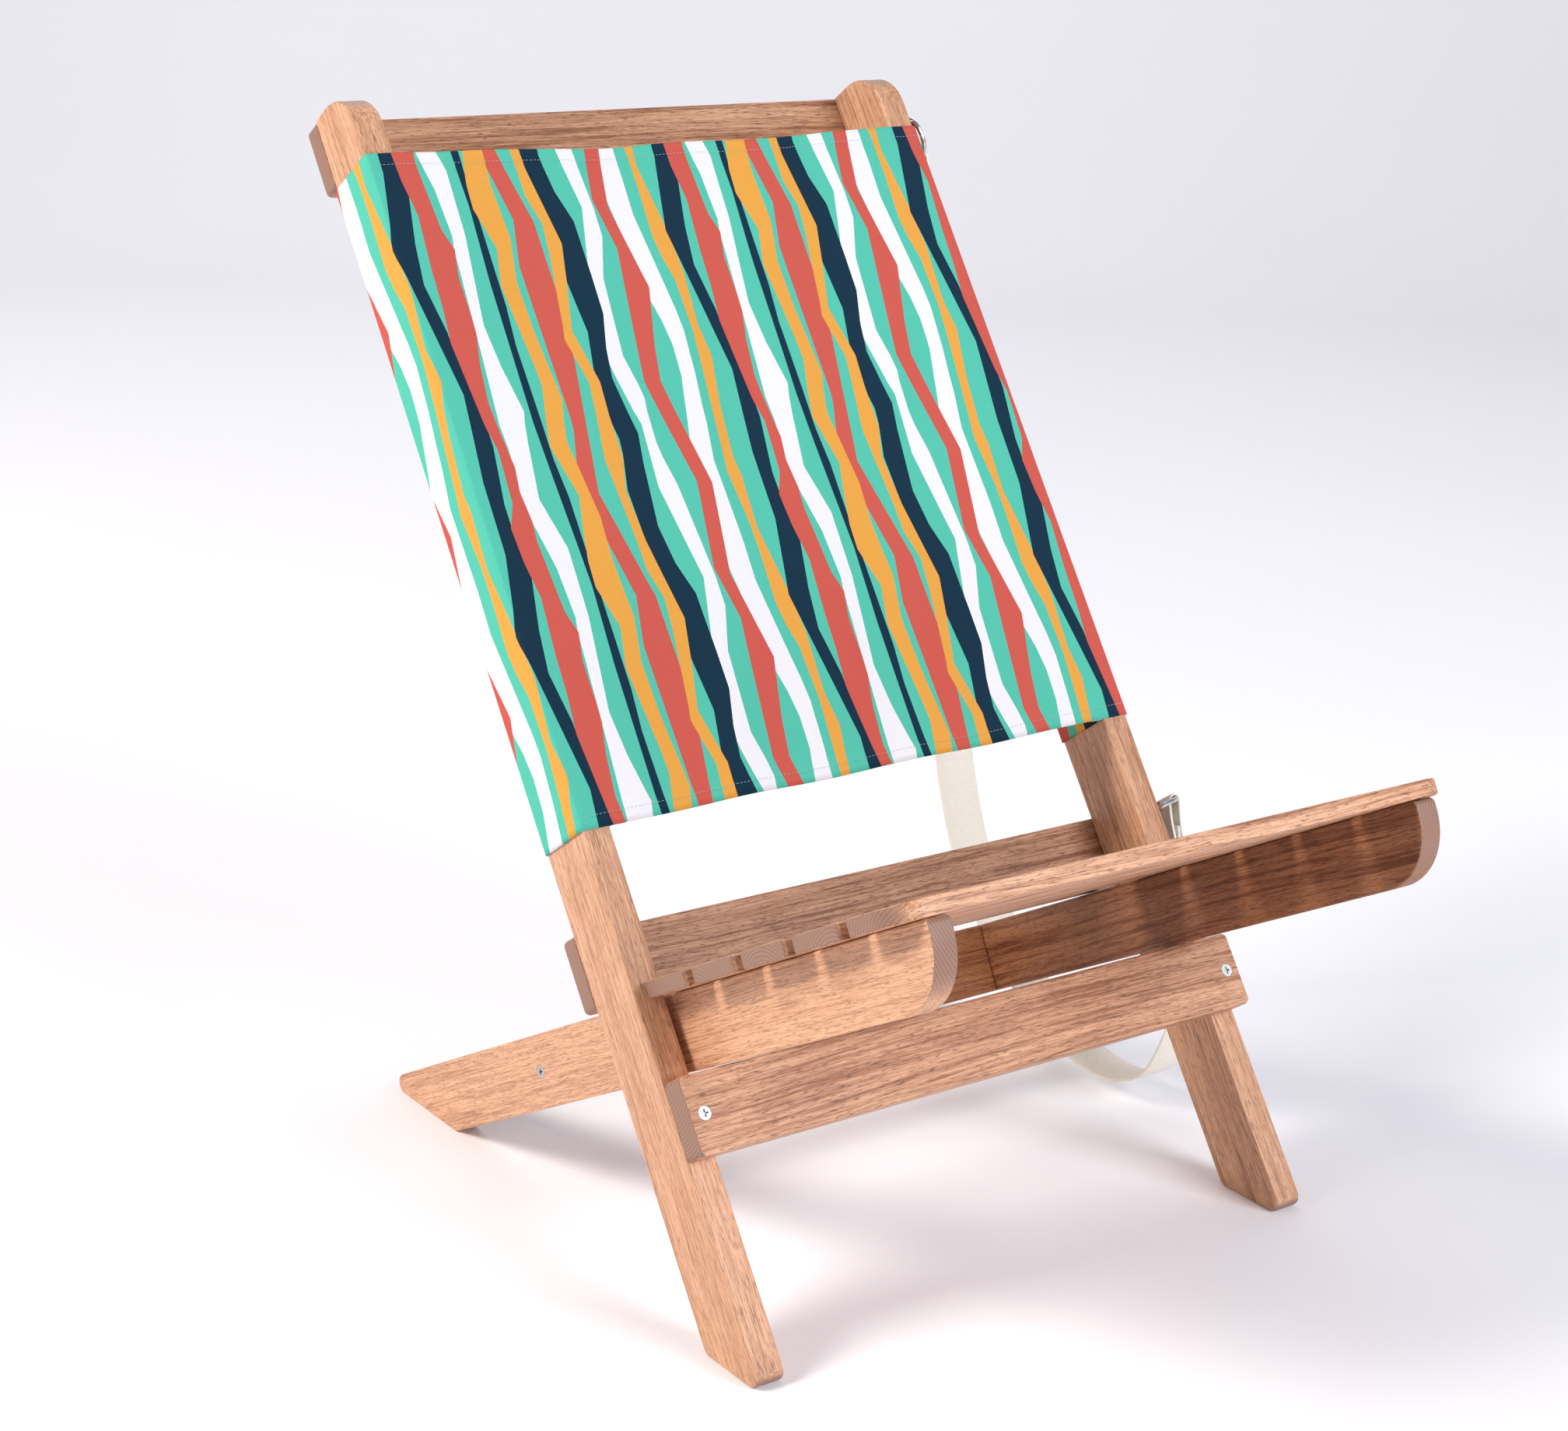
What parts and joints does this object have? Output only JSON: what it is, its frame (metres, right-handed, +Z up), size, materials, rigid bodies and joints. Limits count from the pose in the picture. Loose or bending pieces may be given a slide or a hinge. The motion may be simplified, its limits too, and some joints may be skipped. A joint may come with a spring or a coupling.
{
  "type": "beach chair",
  "caption": "Low beach chair in two wooden frames: a leaning back with a canvas sling and a slatted seat that wedges through it, with a carry strap.",
  "frame": {"origin": "on the floor, under the middle of the chair's box without its loose strap", "axes": "+X to the sitter's left, the side with the strap; +Y backwards; +Z up"},
  "size_m": [0.5548, 0.7428, 0.7845],
  "materials": {
    "wood": "oiled, satin",
    "canvas": "printed cotton canvas",
    "leather": "smooth",
    "webbing": "cotton webbing",
    "steel": "bright stainless"
  },
  "bodies": {
    "back_frame": {"canvas_sling": "canvas", "carry_strap": "webbing", "crossbar_top": "wood", "front_stretcher": "wood", "leather_tab_lower": "leather", "leather_tab_upper": "leather", "rear_stretcher": "wood", "screw_crossbar_top_left": "steel", "screw_crossbar_top_right": "steel", "screw_front_stretcher_left": "steel", "screw_front_stretcher_right": "steel", "screw_rear_stretcher_left": "steel", "screw_rear_stretcher_right": "steel", "screw_tab_lower_front": "steel", "screw_tab_lower_rear": "steel", "screw_tab_upper_front": "steel", "screw_tab_upper_rear": "steel", "upright_left": "wood", "upright_right": "wood"},
    "seat_frame": {"screw_brace_left": "steel", "screw_brace_right": "steel", "screw_slat_1_left": "steel", "screw_slat_1_right": "steel", "screw_slat_2_left": "steel", "screw_slat_2_right": "steel", "screw_slat_3_left": "steel", "screw_slat_3_right": "steel", "screw_slat_4_left": "steel", "screw_slat_4_right": "steel", "screw_slat_5_left": "steel", "screw_slat_5_right": "steel", "seat_brace": "wood", "seat_rail_left": "wood", "seat_rail_right": "wood", "slat_1": "wood", "slat_2": "wood", "slat_3": "wood", "slat_4": "wood", "slat_5": "wood"},
    "ring_upper": {"dring_upper": "steel"},
    "ring_lower": {"dring_lower": "steel"}
  },
  "joints": [
    {"name": "seat_lift", "type": "slide", "parent": "back_frame", "child": "seat_frame", "axis": [0, -0.8813, 0.4726], "range_m": [0, 0.505]},
    {"name": "ring_upper_swing", "type": "hinge", "parent": "back_frame", "child": "ring_upper", "pos_m": [0.23768, 0.3056, 0.74111], "axis": [0, -0.8171, 0.5764], "range_deg": [0, 145]},
    {"name": "ring_lower_swing", "type": "hinge", "parent": "back_frame", "child": "ring_lower", "pos_m": [0.23768, -0.03997, 0.25123], "axis": [0, -0.8171, 0.5764], "range_deg": [0, 68]}
  ]
}
